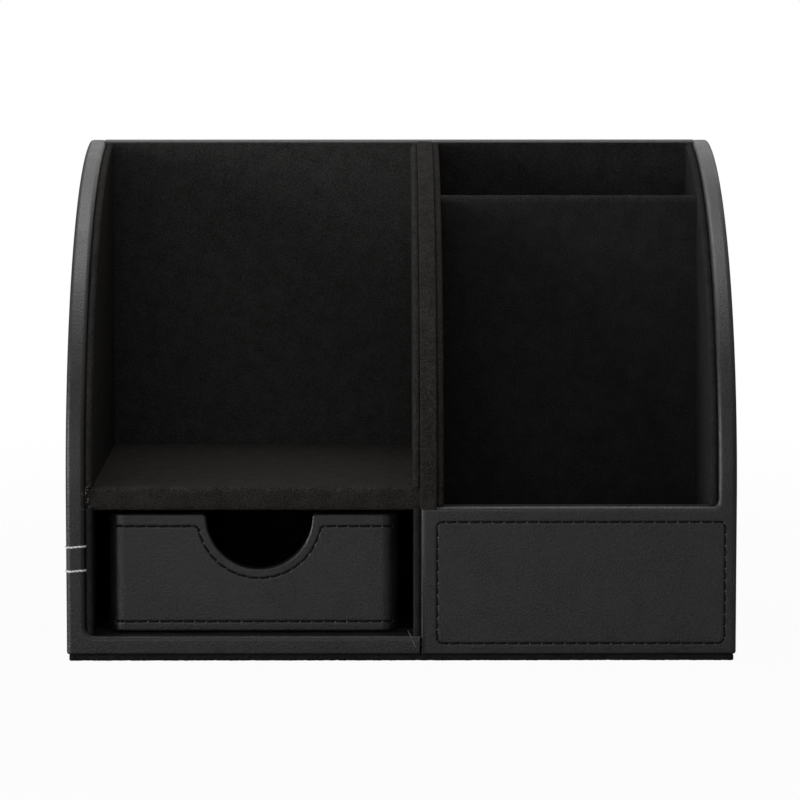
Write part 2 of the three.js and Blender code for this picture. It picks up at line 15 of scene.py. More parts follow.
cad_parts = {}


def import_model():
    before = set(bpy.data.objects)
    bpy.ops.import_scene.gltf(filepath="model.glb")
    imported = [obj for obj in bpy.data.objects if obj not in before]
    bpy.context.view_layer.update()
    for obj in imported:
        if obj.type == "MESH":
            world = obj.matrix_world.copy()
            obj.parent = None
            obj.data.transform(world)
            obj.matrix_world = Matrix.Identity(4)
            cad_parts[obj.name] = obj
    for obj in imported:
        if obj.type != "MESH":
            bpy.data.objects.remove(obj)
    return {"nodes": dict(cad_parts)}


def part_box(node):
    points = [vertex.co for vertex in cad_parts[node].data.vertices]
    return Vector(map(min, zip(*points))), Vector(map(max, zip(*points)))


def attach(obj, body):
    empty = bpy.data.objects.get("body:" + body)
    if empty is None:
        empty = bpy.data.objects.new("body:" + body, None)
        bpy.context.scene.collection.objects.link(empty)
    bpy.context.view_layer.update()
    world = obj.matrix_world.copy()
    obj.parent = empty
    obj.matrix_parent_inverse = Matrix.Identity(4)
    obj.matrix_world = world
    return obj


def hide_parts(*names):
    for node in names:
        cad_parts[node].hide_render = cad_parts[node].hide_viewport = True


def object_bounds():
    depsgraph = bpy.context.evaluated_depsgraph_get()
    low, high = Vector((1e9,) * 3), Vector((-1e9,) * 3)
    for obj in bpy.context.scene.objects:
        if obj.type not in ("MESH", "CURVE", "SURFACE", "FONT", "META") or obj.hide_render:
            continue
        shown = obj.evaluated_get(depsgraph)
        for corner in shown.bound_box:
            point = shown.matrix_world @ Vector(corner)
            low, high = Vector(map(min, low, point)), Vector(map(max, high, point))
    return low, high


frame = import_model()
cad_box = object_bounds()
MM = 0.001

# Sizes that the part's own values give
STRAIGHT_FRONT_HEIGHT = 56 * MM
ARCH_OVERHANG = 12 * MM
LEATHER = 0.6 * MM
VELVET = 0.9 * MM
TURN_IN = 12 * MM
DRAWER_TURN_IN = 8 * MM
DRAWER_WALL = 4 * MM
NOTCH_OFFSET = 2 * MM
LINING_SETBACK = 1 * MM
GAP = 0.3 * MM

# How far a cutting shape reaches past what it cuts
OVERRUN = 3 * MM

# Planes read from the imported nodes
low, high = cad_box
FRONT, REAR, TOP = low.y, high.y, high.z
OUTER_X = high.x
CASE_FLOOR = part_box("base_felt")[1].z
COVER_INNER_X = -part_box("left_side_cover")[1].x
BOARD_OUTER_X, BOARD_INNER_X = -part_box("left_side_board")[0].x, -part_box("left_side_board")[1].x
BOARD_BOTTOM, BOARD_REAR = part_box("back_board")[0].z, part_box("back_board")[1].y
BACK_PANEL_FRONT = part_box("back_cover")[0].y
BASE_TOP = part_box("base_board")[1].z
RAIL_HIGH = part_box("base_front_wrap")[1]
PANEL_LOW, PANEL_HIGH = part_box("front_panel_cover")
PANEL_BOARD_LOW, PANEL_BOARD_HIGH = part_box("front_panel_board")
SHELF_LOW, SHELF_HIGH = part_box("shelf_velvet")
DRAWER_LOW, DRAWER_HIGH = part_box("drawer_wrap")

# The arch over the sides
ARCH_CENTRE_Y = REAR + ARCH_OVERHANG
ARCH_REACH = ARCH_CENTRE_Y - FRONT
ARCH_RISE = (TOP - STRAIGHT_FRONT_HEIGHT) / math.sqrt(1 - (ARCH_OVERHANG / ARCH_REACH) ** 2)


# Material nodes

def new_material(name):
    material = bpy.data.materials.new(name)
    material.use_nodes = True
    tree = material.node_tree
    tree.nodes.clear()
    output = tree.nodes.new("ShaderNodeOutputMaterial")
    shader = tree.nodes.new("ShaderNodeBsdfPrincipled")
    tree.links.new(shader.outputs["BSDF"], output.inputs["Surface"])
    return material, tree, shader


def node(tree, kind, inputs=None, **settings):
    made = tree.nodes.new(kind)
    for key, value in settings.items():
        setattr(made, key, value)
    for key, value in (inputs or {}).items():
        if isinstance(value, bpy.types.NodeSocket):
            tree.links.new(value, made.inputs[key])
        else:
            made.inputs[key].default_value = value
    return made


def ramp(tree, factor, stops):
    made = node(tree, "ShaderNodeValToRGB", {"Fac": factor})
    band = made.color_ramp
    while len(band.elements) < len(stops):
        band.elements.new(0.5)
    for element, (position, colour) in zip(band.elements, stops):
        element.position = position
        element.color = (*colour, 1)
    return made.outputs["Color"]


def cloud(tree, place, cell, detail=4.0, roughness=0.5):
    made = node(tree, "ShaderNodeTexNoise", {
        "Vector": place,
        "Scale": 1 / cell,
        "Detail": detail,
        "Roughness": roughness,
    })
    return made.outputs["Fac"]


def mixed(tree, first, second, share):
    """Two values mixed, with a share of the second."""
    made = node(tree, "ShaderNodeMix", {0: share, 2: first, 3: second}, data_type="FLOAT")
    return made.outputs[0]


def bumps(tree, shader, layers):
    """Bump nodes one after the other: (height, strength, distance, inverted) for each."""
    normal = None
    for height, strength, distance, inverted in layers:
        inputs = {"Height": height, "Strength": strength, "Distance": distance}
        if normal is not None:
            inputs["Normal"] = normal
        normal = node(tree, "ShaderNodeBump", inputs, invert=inverted).outputs["Normal"]
    tree.links.new(normal, shader.inputs["Normal"])


def object_place(tree):
    return node(tree, "ShaderNodeTexCoord").outputs["Object"]


def grey(level):
    return (level, level, level)


def leather_material(name, dark, light, roughness, swing, grain):
    """Coated leather: rounded grain cells with creases between them, and fine pores."""
    material, tree, shader = new_material(name)
    place = object_place(tree)
    cells = node(tree, "ShaderNodeTexVoronoi", {
        "Vector": place,
        "Scale": 1 / grain,
        "Randomness": 1.0,
    }, feature="SMOOTH_F1")
    pores = cloud(tree, place, cell=0.55 * MM, detail=3.0, roughness=0.8)
    patches = cloud(tree, place, cell=14 * MM, detail=5.0, roughness=0.6)
    swell = cloud(tree, place, cell=16 * MM, detail=1.5)
    tone = mixed(tree, patches, pores, share=0.8)
    colour = ramp(tree, tone, [(0.38, dark), (0.62, light)])
    tree.links.new(colour, shader.inputs["Base Color"])
    rough = node(tree, "ShaderNodeMapRange", {
        "Value": mixed(tree, patches, pores, share=0.7),
        "From Min": 0.35,
        "From Max": 0.65,
        "To Min": roughness - swing,
        "To Max": roughness + swing,
    })
    tree.links.new(rough.outputs["Result"], shader.inputs["Roughness"])
    shader.inputs["Specular IOR Level"].default_value = 0.5
    bumps(tree, shader, [
        (swell, 0.15, 0.9 * MM, False),
        (cells.outputs["Distance"], 0.5, 0.14 * MM, True),
        (pores, 0.7, 0.12 * MM, False),
    ])
    return material


def velvet_material(name, dark, light, tuft=0.5 * MM, depth=0.25 * MM):
    """Flock: a matt pile in small tufts, brushed one way here and the other way there."""
    material, tree, shader = new_material(name)
    place = object_place(tree)
    pile = cloud(tree, place, tuft, detail=3.0, roughness=0.75)
    nap = cloud(tree, place, cell=6 * MM, detail=6.0, roughness=0.75)
    tone = mixed(tree, pile, nap, share=0.25)
    colour = ramp(tree, tone, [(0.38, dark), (0.64, light)])
    tree.links.new(colour, shader.inputs["Base Color"])
    shader.inputs["Roughness"].default_value = 0.95
    shader.inputs["Specular IOR Level"].default_value = 0.03
    bumps(tree, shader, [
        (nap, 0.15, 0.5 * MM, False),
        (pile, 0.8, depth, False),
    ])
    return material


def thread_material(name, dark, light, roughness, gloss=0.5):
    """Twisted thread, with slanting bands of light and dark: painted highlight and shade of the
    plies, over a bump of the same bands.
    """
    material, tree, shader = new_material(name)
    place = object_place(tree)
    twist = node(tree, "ShaderNodeTexWave", {
        "Vector": place,
        "Scale": 1 / (2.4 * MM),
        "Distortion": 2.0,
        "Detail": 1.0,
    }, wave_type="BANDS", bands_direction="DIAGONAL")
    # The colour bands paint the plies' highlight and shade
    colour = ramp(tree, twist.outputs["Fac"], [(0.2, dark), (0.8, light)])
    tree.links.new(colour, shader.inputs["Base Color"])
    shader.inputs["Roughness"].default_value = roughness
    shader.inputs["Specular IOR Level"].default_value = gloss
    bumps(tree, shader, [(twist.outputs["Fac"], 0.5, 0.05 * MM, False)])
    return material


def board_material(name):
    """Pressed wood fibre."""
    material, tree, shader = new_material(name)
    fibres = cloud(tree, object_place(tree), cell=0.8 * MM, detail=6.0, roughness=0.7)
    colour = ramp(tree, fibres, [(0.3, (0.2, 0.12, 0.065)), (0.7, (0.36, 0.24, 0.15))])
    tree.links.new(colour, shader.inputs["Base Color"])
    shader.inputs["Roughness"].default_value = 0.9
    bumps(tree, shader, [(fibres, 0.4, 0.1 * MM, False)])
    return material


def steel_material(name):
    """Drawn wire."""
    material, tree, shader = new_material(name)
    drawn = cloud(tree, object_place(tree), cell=0.2 * MM, detail=2.0)
    colour = ramp(tree, drawn, [(0.3, grey(0.45)), (0.7, grey(0.62))])
    tree.links.new(colour, shader.inputs["Base Color"])
    shader.inputs["Metallic"].default_value = 1.0
    shader.inputs["Roughness"].default_value = 0.35
    bumps(tree, shader, [(drawn, 0.2, 0.02 * MM, False)])
    return material


LEATHER_FINISH = leather_material(
    "black_leather", grey(0.002), grey(0.018), roughness=0.4, swing=0.14, grain=0.6 * MM)
VELVET_FINISH = velvet_material("black_velvet", (0.008, 0.0078, 0.0076), (0.031, 0.0298, 0.029))
# A lighter copy of the black velvet: painted light for the upper left back wall, which the lamps
# leave darker
PAINTED_LIGHT_VELVET_FINISH = velvet_material(
    "painted_light_velvet", (0.0138, 0.0136, 0.0132), (0.051, 0.0495, 0.048))
# A lighter copy of the black velvet: painted sheen for front edges and the upper linings
SHEEN_PAINTED_VELVET_FINISH = velvet_material("sheen_painted_velvet", (0.006, 0.0056, 0.0052), (0.041, 0.038, 0.035))
FELT_FINISH = velvet_material("black_felt", (0.006, 0.006, 0.006), (0.022, 0.022, 0.022))
BOARD_FINISH = board_material("fibreboard")
STEEL_FINISH = steel_material("drawn_wire")
THREAD_FINISH = thread_material(
    "black_thread", grey(0.0015), grey(0.005), roughness=0.7, gloss=0.12)
PALE_FINISH = thread_material("pale_thread", grey(0.42), grey(0.75), roughness=0.6)
LINT_FINISH = thread_material(
    "lint", (0.08, 0.075, 0.07), (0.2, 0.19, 0.18), roughness=0.8)


# Outlines, and in how many steps their round stretches are drawn
TIP_STEPS = 3
CORNER_STEPS = 6
EDGE_STEPS = 7
RAIL_CORNER_STEPS = 8
DRAWER_CORNER_STEPS = 12
NOTCH_STEPS = 48
NOTCH_SEAM_STEPS = 40
FOLD_STEPS = 24


def profile(inset=0.0, bottom=CASE_FLOOR, back=REAR, top=math.inf, steps=64):
    """The case's profile in the Y-Z plane: a straight front edge, then the arch."""
    if top <= STRAIGHT_FRONT_HEIGHT:
        return rectangle(FRONT + inset, back, bottom, top)
    reach = ARCH_REACH - inset
    rise = ARCH_RISE - inset
    start = math.asin(min(max((bottom - STRAIGHT_FRONT_HEIGHT) / rise, 0), 1))
    end = math.acos(min(max((ARCH_CENTRE_Y - back) / reach, 0), 1))
    count = max(1, round(steps * (end - start) / (math.pi / 2)))
    points = [(FRONT + inset, bottom)] if bottom < STRAIGHT_FRONT_HEIGHT else []
    for i in range(count + 1):
        angle = start + (end - start) * i / count
        points.append((
            ARCH_CENTRE_Y - reach * math.cos(angle),
            STRAIGHT_FRONT_HEIGHT + rise * math.sin(angle),
        ))
    points.append((back, bottom))
    return points


def rectangle(u0, u1, v0, v1):
    return [(u0, v0), (u1, v0), (u1, v1), (u0, v1)]


def arc(centre_u, centre_v, radius, start, end, steps):
    """Points of an arc, its angles in degrees."""
    points = []
    for i in range(steps + 1):
        angle = math.radians(start + (end - start) * i / steps)
        points.append((centre_u + radius * math.cos(angle), centre_v + radius * math.sin(angle)))
    return points


def soften(points, reach, sharper_than=40, steps=5):
    """A closed outline with its sharp corners cut off by curves of a given reach."""
    softened = []
    count = len(points)
    for i in range(count):
        before, corner, after = (Vector(points[(i + k) % count]) for k in (-1, 0, 1))
        turn = (corner - before).angle(after - corner)
        if turn < math.radians(sharper_than):
            softened.append(tuple(corner))
            continue
        start = corner + (before - corner).normalized() * reach
        end = corner + (after - corner).normalized() * reach
        for k in range(steps + 1):
            share = k / steps
            softened.append(tuple(start.lerp(corner, share).lerp(corner.lerp(end, share), share)))
    return softened


# Solids
WELD_DISTANCE = 0.0005 * MM
FLAT_ANGLE = math.radians(0.05)


def adopt(name, shape):
    """A new object from a bmesh."""
    mesh = bpy.data.meshes.new(name)
    bmesh.ops.recalc_face_normals(shape, faces=shape.faces)
    shape.to_mesh(mesh)
    shape.free()
    made = bpy.data.objects.new(name, mesh)
    bpy.context.scene.collection.objects.link(made)
    return made


def reshape(made, change):
    """Applies a bmesh change to an object's mesh."""
    shape = bmesh.new()
    shape.from_mesh(made.data)
    change(shape)
    shape.to_mesh(made.data)
    shape.free()
    return made


def sweep(shape, rings, closed=False):
    """Joins rings of points into a bmesh, each to the next, and caps the ends."""
    rows = [[shape.verts.new(point) for point in ring] for ring in rings]
    count = len(rows[0])
    for near, far in zip(rows, rows[1:] + rows[:1] if closed else rows[1:]):
        for j in range(count):
            k = (j + 1) % count
            shape.faces.new((near[j], near[k], far[k], far[j]))
    if not closed:
        shape.faces.new(list(reversed(rows[0])))
        shape.faces.new(rows[-1])


def add_prism(shape, outline, axis, lo, hi):
    place = {
        "x": lambda u, v, w: (w, u, v),
        "y": lambda u, v, w: (u, w, v),
        "z": lambda u, v, w: (u, v, w),
    }[axis]
    sweep(shape, [[place(u, v, w) for u, v in outline] for w in (lo, hi)])


def prism(name, outline, axis, lo, hi):
    """An outline drawn out between two planes across an axis."""
    shape = bmesh.new()
    add_prism(shape, outline, axis, lo, hi)
    return adopt(name, shape)


def block(name, lo, hi):
    return prism(name, rectangle(lo[0], hi[0], lo[1], hi[1]), "z", lo[2], hi[2])


def apply_modifiers(made):
    bpy.context.view_layer.update()
    graph = bpy.context.evaluated_depsgraph_get()
    mesh = bpy.data.meshes.new_from_object(made.evaluated_get(graph))
    made.modifiers.clear()
    made.data = mesh
    return made


def round_edges(made, radius, segments=5, share=lambda middle: 1.0, sharper_than=50):
    """Rounds the sharp convex edges, each by the share of the radius that its middle gives."""
    def weigh(shape):
        weight = shape.edges.layers.float.new("bevel_weight_edge")
        for edge in shape.edges:
            if len(edge.link_faces) != 2:
                continue
            if edge.calc_face_angle_signed(0) > math.radians(sharper_than):
                edge[weight] = share((edge.verts[0].co + edge.verts[1].co) / 2)
    reshape(made, weigh)
    bevel = made.modifiers.new("bevel", "BEVEL")
    bevel.limit_method = "WEIGHT"
    bevel.width = radius
    bevel.segments = segments
    bevel.use_clamp_overlap = False
    return apply_modifiers(made)


def combine(made, others, operation):
    """Joins the others to a piece, or cuts them out of it, and removes them."""
    for other in others:
        boolean = made.modifiers.new("boolean", "BOOLEAN")
        boolean.operation = operation
        boolean.solver = "EXACT"
        boolean.object = other
        apply_modifiers(made)
        bpy.data.objects.remove(other)

    def tidy(shape):
        bmesh.ops.remove_doubles(shape, verts=shape.verts, dist=WELD_DISTANCE)
        bmesh.ops.dissolve_limit(
            shape, angle_limit=FLAT_ANGLE, verts=shape.verts, edges=shape.edges)
    return reshape(made, tidy)


def dress(made, material, body, replaced=(), sharp_angle=40):
    """Smooth shading, a material, a body to ride on and the nodes that the piece stands for."""
    made.data.materials.clear()
    made.data.materials.append(material)
    made.data.shade_smooth()
    made.data.set_sharp_from_angle(angle=math.radians(sharp_angle))
    weighted = made.modifiers.new("flat_faces_first", "WEIGHTED_NORMAL")
    weighted.keep_sharp = True
    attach(made, body)
    if replaced:
        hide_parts(*replaced)
    return made


# Seams, on leather laid out flat: lift gives the point and the normal at a flat place (u, v)
STITCH_PITCH = 4.0 * MM
STITCH_SHARE = 0.76
THREAD_RADIUS = 0.33 * MM
THREAD_ARCH_SHARE = 0.5
THREAD_SINK_SHARE = 0.4
THREAD_TAPER_SHARE = 0.25
THREAD_SEAM_SHARE = 0.8
THREAD_END_DEPTH = 0.2 * MM
THREAD_SEGMENTS = 8
SLANTS = (0.06 * MM, 0.2 * MM)
SEAM_DEPTH = 0.16 * MM
SEAM_WIDTH = 0.42 * MM
HOLE_DEPTH = 0.3 * MM
HOLE_WIDTH = 0.32 * MM
SLOT_DEPTH = 0.5 * MM
SLOT_OFFSETS = [k * MM for k in (1.25, 1.0, 0.8, 0.64, 0.5, 0.38, 0.27, 0.17, 0.08)]
SLOT_HALF_WIDTH = SLOT_OFFSETS[0]
ROW_STEP = 0.33 * MM
TUCK = 0.03 * MM
SLOT_OVERLAP = 0.12 * MM
GAP_RISE = 0.07 * MM


class Seam:
    """A line of stitching on a sheet, with the places along it by length."""

    def __init__(self, corners, closed=False):
        points = [Vector(c) for c in corners]
        self.points = points + points[:1] if closed else points
        self.closed = closed
        spans = [b - a for a, b in zip(self.points, self.points[1:])]
        self.lengths = [0.0]
        for span in spans:
            self.lengths.append(self.lengths[-1] + span.length)
        self.count = max(1, round(self.lengths[-1] / STITCH_PITCH))
        self.pitch = self.lengths[-1] / self.count
        sides = [Vector((-span.y, span.x)).normalized() for span in spans]
        before = [sides[-1] if closed else sides[0], *sides]
        after = [*sides, sides[0] if closed else sides[-1]]
        self.across = []
        for a, b in zip(before, after):
            middle = (a + b).normalized()
            self.across.append(middle / middle.dot(b))

    def rows(self, step):
        """Places along the line, with the direction across it and the length so far."""
        found = []
        for i in range(len(self.points) - 1):
            length = self.lengths[i + 1] - self.lengths[i]
            count = max(1, math.ceil(length / step))
            for k in range(count):
                share = k / count
                found.append((
                    self.points[i].lerp(self.points[i + 1], share),
                    self.across[i].lerp(self.across[i + 1], share),
                    self.lengths[i] + length * share,
                ))
        if not self.closed:
            found.append((self.points[-1], self.across[-1], self.lengths[-1]))
        return found

    def at(self, length):
        """Place and direction at a length along the line."""
        i = min(max(bisect.bisect_right(self.lengths, length) - 1, 0), len(self.points) - 2)
        a, b = self.points[i], self.points[i + 1]
        share = (length - self.lengths[i]) / (self.lengths[i + 1] - self.lengths[i])
        return a.lerp(b, share), (b - a).normalized()

    def depth(self, offset, along):
        """How deep the leather is pulled in beside and under the thread."""
        phase = (along / self.pitch) % 1.0
        edge = (1 - STITCH_SHARE) / 2
        between = max(0.0, 1 - min(phase, 1 - phase) / edge)
        pull = SEAM_DEPTH * (1 - between) - GAP_RISE * between
        groove = pull * math.exp(-(offset / SEAM_WIDTH) ** 2)
        to_hole = min(abs(phase - edge), abs(phase - (1 - edge))) * self.pitch
        return groove + HOLE_DEPTH * math.exp(-(math.hypot(offset, to_hole) / HOLE_WIDTH) ** 2)


def cut_slot(made, seam, lift, step):
    """Makes room along a seam for its finely modelled leather."""
    slot = bmesh.new()
    corners = (
        (-SLOT_HALF_WIDTH, MM), (SLOT_HALF_WIDTH, MM),
        (SLOT_HALF_WIDTH, -SLOT_DEPTH), (-SLOT_HALF_WIDTH, -SLOT_DEPTH))
    rings = []
    for place, across, along in seam.rows(step):
        if not seam.closed:
            place = seam.at(min(max(along, SLOT_OVERLAP), seam.lengths[-1] - SLOT_OVERLAP))[0]
        ring = []
        for offset, height in corners:
            point, normal = lift(place + across * offset)
            ring.append(point + normal * height)
        rings.append(ring)
    sweep(slot, rings, seam.closed)
    combine(made, [adopt("slot", slot)], "DIFFERENCE")


def fill_slot(made, seam, lift):
    """Fills a seam's slot with leather that the thread pulls in."""
    offsets = [*SLOT_OFFSETS, 0, *(-offset for offset in reversed(SLOT_OFFSETS))]
    rings = []
    for place, across, along in seam.rows(ROW_STEP):
        ring = []
        for offset in (SLOT_HALF_WIDTH + TUCK, *offsets, -SLOT_HALF_WIDTH - TUCK):
            point, normal = lift(place + across * offset)
            beyond = abs(offset) > SLOT_HALF_WIDTH
            ring.append(point - normal * (TUCK if beyond else seam.depth(offset, along)))
        for offset in (-SLOT_HALF_WIDTH - TUCK, SLOT_HALF_WIDTH + TUCK):
            point, normal = lift(place + across * offset)
            ring.append(point - normal * (SLOT_DEPTH + TUCK))
        rings.append(ring)
    filling = bmesh.new()
    sweep(filling, rings, seam.closed)
    return merge(made, adopt("filling", filling))


def merge(made, other):
    """Adds another object's mesh to a piece, beside its own."""
    shape = bmesh.new()
    shape.from_mesh(made.data)
    shape.from_mesh(other.data)
    shape.to_mesh(made.data)
    shape.free()
    bpy.data.objects.remove(other)
    return made


def add_tube(shape, centres, radii, sides=8):
    """A tube through centres, with closed ends."""
    rings = []
    for i, (centre, radius) in enumerate(zip(centres, radii)):
        ahead = centres[min(i + 1, len(centres) - 1)] - centres[max(i - 1, 0)]
        turn = ahead.to_track_quat("Z", "Y")
        ring = []
        for j in range(sides):
            angle = 2 * math.pi * j / sides
            ring.append(centre + turn @ Vector((math.cos(angle), math.sin(angle), 0)) * radius)
        rings.append(ring)
    sweep(shape, rings)


def stitches(name, seams, lift, body, seed):
    """One arched stitch of thread for each pitch of the seams, its ends sunk into the holes."""
    dice = random.Random(seed)
    shape = bmesh.new()
    for seam in seams:
        for i in range(seam.count):
            middle = (i + 0.5) * seam.pitch
            half = seam.pitch * STITCH_SHARE / 2
            slant = dice.uniform(*SLANTS)
            centres = []
            radii = []
            for j in range(THREAD_SEGMENTS + 1):
                share = 2 * j / THREAD_SEGMENTS - 1
                flat, direction = seam.at(middle + share * half)
                across = Vector((-direction.y, direction.x))
                place, normal = lift(flat + across * slant * share)
                arch = THREAD_ARCH_SHARE * (1 - share ** 4)
                rise = THREAD_RADIUS * (arch - THREAD_SINK_SHARE) - SEAM_DEPTH * THREAD_SEAM_SHARE
                sunk = THREAD_END_DEPTH if abs(share) == 1 else 0
                centres.append(place + normal * (rise - sunk))
                radii.append(THREAD_RADIUS * (1 - THREAD_TAPER_SHARE * share ** 4))
            add_tube(shape, centres, radii)
    dress(adopt(name, shape), THREAD_FINISH, body, sharp_angle=60)


# Leather of the case: each side is one skin with its frame across the front
EDGE_ROUNDING = 1.8 * MM
FOOT_SHARE = 0.55
RAIL_END = RAIL_HIGH.x + 0.25 * MM
RAIL_END_SHARE = 0.3
FRAME_DEPTH = PANEL_HIGH.y - PANEL_LOW.y
RAIL_CORNER = 3.4 * MM
PANEL_CORNER = 2.2 * MM
FRAME_TOP = STRAIGHT_FRONT_HEIGHT - 0.2 * MM
SIDE_SEAM_INSET = 5.0 * MM
FOLD_INSET = 1.3 * MM
FOLD_RADIUS = 0.3 * MM
FOLD_DEPTH = 0.1 * MM
FOLD_FOOT = 2 * MM
FOLD_TOP = MM
FRONT_BAND_SHARE = 0.4
SIDE_SEAM_CORNER = 3 * MM
PANEL_SEAM_LEFT = 5.6 * MM
PANEL_SEAM_RIGHT = 3.2 * MM
PANEL_SEAM_FOOT = 4.0 * MM
PANEL_SEAM_TOP = 5.3 * MM
PANEL_SEAM_CORNER = 2.2 * MM
SEAM_TIP = 1.6 * MM


def side_rooms(side):
    """What is cut out of a side's solid: its board, and all behind the turned-in leather."""
    sign = -1 if side == "left" else 1
    board = prism(
        "board_room",
        profile(LEATHER, BOARD_BOTTOM, BOARD_REAR),
        "x", *sorted((sign * BOARD_OUTER_X, sign * BOARD_INNER_X)))
    round_edges(board, EDGE_ROUNDING - LEATHER, segments=3)
    x0, x1 = sorted((sign * (BOARD_INNER_X - GAP), sign * (COVER_INNER_X - OVERRUN)))
    behind = prism(
        "behind_turn_in",
        profile(LEATHER + TURN_IN, CASE_FLOOR - OVERRUN, REAR + OVERRUN),
        "x", x0, x1)
    back = block("back_room", (x0, BACK_PANEL_FRONT, -OVERRUN), (x1, REAR + OVERRUN, TOP + OVERRUN))
    base = block(
        "base_room", (x0, FRONT + FRAME_DEPTH, -OVERRUN), (x1, REAR + OVERRUN, RAIL_HIGH.z))
    return [board, behind, back, base]


def skin(side, outline, rooms):
    """A side's leather joined to a frame across the front, hollowed out for its boards."""
    sign = -1 if side == "left" else 1
    made = prism(
        f"{side}_case_leather", profile(),
        "x", *sorted((sign * OUTER_X, sign * COVER_INNER_X)))
    combine(made, [prism("front_frame", outline, "y", FRONT, FRONT + FRAME_DEPTH)], "UNION")

    def share(middle):
        on_front = middle.y < FRONT + FRAME_DEPTH * FRONT_BAND_SHARE
        on_outside = abs(middle.x) > OUTER_X - GAP
        on_arch = abs(middle.x) > COVER_INNER_X - GAP and middle.z > STRAIGHT_FRONT_HEIGHT
        if not (on_front or on_outside or on_arch):
            return 0.0
        if middle.z < CASE_FLOOR + TUCK:
            return FOOT_SHARE
        return RAIL_END_SHARE if side == "left" and middle.x > RAIL_END - TUCK else 1.0
    round_edges(made, EDGE_ROUNDING, segments=6, share=share)
    return combine(made, rooms, "DIFFERENCE")


def sew(made, body, jobs):
    """Sews seams into a piece: (name of the stitching, seams, lift, step of the slot) for each.
    All slots are cut before the first is filled."""
    for _, seams, lift, step in jobs:
        for seam in seams:
            cut_slot(made, seam, lift, step)
    for seed, (name, seams, lift, _) in enumerate(jobs):
        for seam in seams:
            fill_slot(made, seam, lift)
        stitches(name, seams, lift, body, seed)


def side_sewing(side):
    """The border of stitching on a side's outer face."""
    x = -OUTER_X if side == "left" else OUTER_X
    normal = Vector((math.copysign(1, x), 0, 0))
    inset = SIDE_SEAM_INSET
    border = Seam(
        soften(profile(inset, CASE_FLOOR + inset, REAR - inset), SIDE_SEAM_CORNER), closed=True)
    return (
        f"{side}_side_stitching", [border], lambda flat: (Vector((x, *flat)), normal), math.inf)


def left_leather():
    """The left side's leather and the rail under the drawer."""
    corner_x, corner_z = -COVER_INNER_X + RAIL_CORNER, RAIL_HIGH.z + RAIL_CORNER
    outline = [
        (-OUTER_X, CASE_FLOOR),
        (RAIL_END, CASE_FLOOR),
        (RAIL_END, RAIL_HIGH.z),
        *arc(corner_x, corner_z, RAIL_CORNER, 270, 180, RAIL_CORNER_STEPS),
        (-COVER_INNER_X, FRAME_TOP),
        (-OUTER_X, FRAME_TOP),
    ]
    base_board = block(
        "base_board_room",
        (-BOARD_OUTER_X, FRONT + LEATHER, BOARD_BOTTOM),
        (RAIL_HIGH.x, REAR - OVERRUN, BASE_TOP))
    made = skin("left", outline, [*side_rooms("left"), base_board])
    turn_in = block(
        "turn_in",
        (-COVER_INNER_X, FRONT + FRAME_DEPTH - TUCK, BASE_TOP),
        RAIL_HIGH)
    merge(made, turn_in)
    sew(made, "case", [side_sewing("left")])
    dress(made, LEATHER_FINISH, "case", ["left_side_cover", "base_front_wrap"])


def panel_seam():
    """The front panel's border of stitching, its lower corners a little rounder."""
    x0 = PANEL_LOW.x + PANEL_SEAM_LEFT
    x1 = PANEL_HIGH.x - PANEL_SEAM_RIGHT
    z0 = CASE_FLOOR + PANEL_SEAM_FOOT
    z1 = PANEL_HIGH.z - PANEL_SEAM_TOP
    corner = PANEL_SEAM_CORNER
    tip = SEAM_TIP
    return Seam([
        *arc(x0 + tip, z1 - tip, tip, 180, 90, TIP_STEPS),
        *arc(x1 - tip, z1 - tip, tip, 90, 0, TIP_STEPS),
        *arc(x1 - corner, z0 + corner, corner, 0, -90, CORNER_STEPS),
        *arc(x0 + corner, z0 + corner, corner, -90, -180, CORNER_STEPS),
    ], closed=True)


def right_leather():
    """The right side's leather and the front panel, with a fold down the panel's outer edge."""
    x0 = PANEL_LOW.x
    corner_x, corner_z = COVER_INNER_X - PANEL_CORNER, PANEL_HIGH.z + PANEL_CORNER
    outline = [
        (x0, CASE_FLOOR),
        (OUTER_X, CASE_FLOOR),
        (OUTER_X, FRAME_TOP),
        (COVER_INNER_X, FRAME_TOP),
        *arc(corner_x, corner_z, PANEL_CORNER, 0, -90, CORNER_STEPS),
        (x0, PANEL_HIGH.z),
    ]
    panel_board = block("panel_board_room", PANEL_BOARD_LOW, (BOARD_OUTER_X, *PANEL_BOARD_HIGH.yz))
    behind = block(
        "behind_panel",
        (x0 - OVERRUN, PANEL_BOARD_HIGH.y - GAP, -OVERRUN),
        (BOARD_OUTER_X, FRONT + FRAME_DEPTH + GAP, PANEL_BOARD_HIGH.z - TURN_IN))
    made = skin("right", outline, [*side_rooms("right"), panel_board, behind])
    fold_x = OUTER_X - FOLD_INSET
    fold_y = FRONT + EDGE_ROUNDING - math.sqrt(
        EDGE_ROUNDING ** 2 - (EDGE_ROUNDING - FOLD_INSET) ** 2) - FOLD_RADIUS + FOLD_DEPTH
    fold = prism(
        "fold", arc(fold_x, fold_y, FOLD_RADIUS, 0, 360 - 360 / FOLD_STEPS, FOLD_STEPS - 1),
        "z", CASE_FLOOR + FOLD_FOOT, PANEL_HIGH.z - FOLD_TOP)
    combine(made, [fold], "DIFFERENCE")
    on_panel = lambda flat: (Vector((flat[0], FRONT, flat[1])), Vector((0, -1, 0)))
    sew(made, "case", [
        side_sewing("right"),
        ("front_panel_stitching", [panel_seam()], on_panel, math.inf),
    ])
    dress(made, LEATHER_FINISH, "case", ["right_side_cover", "front_panel_cover"])


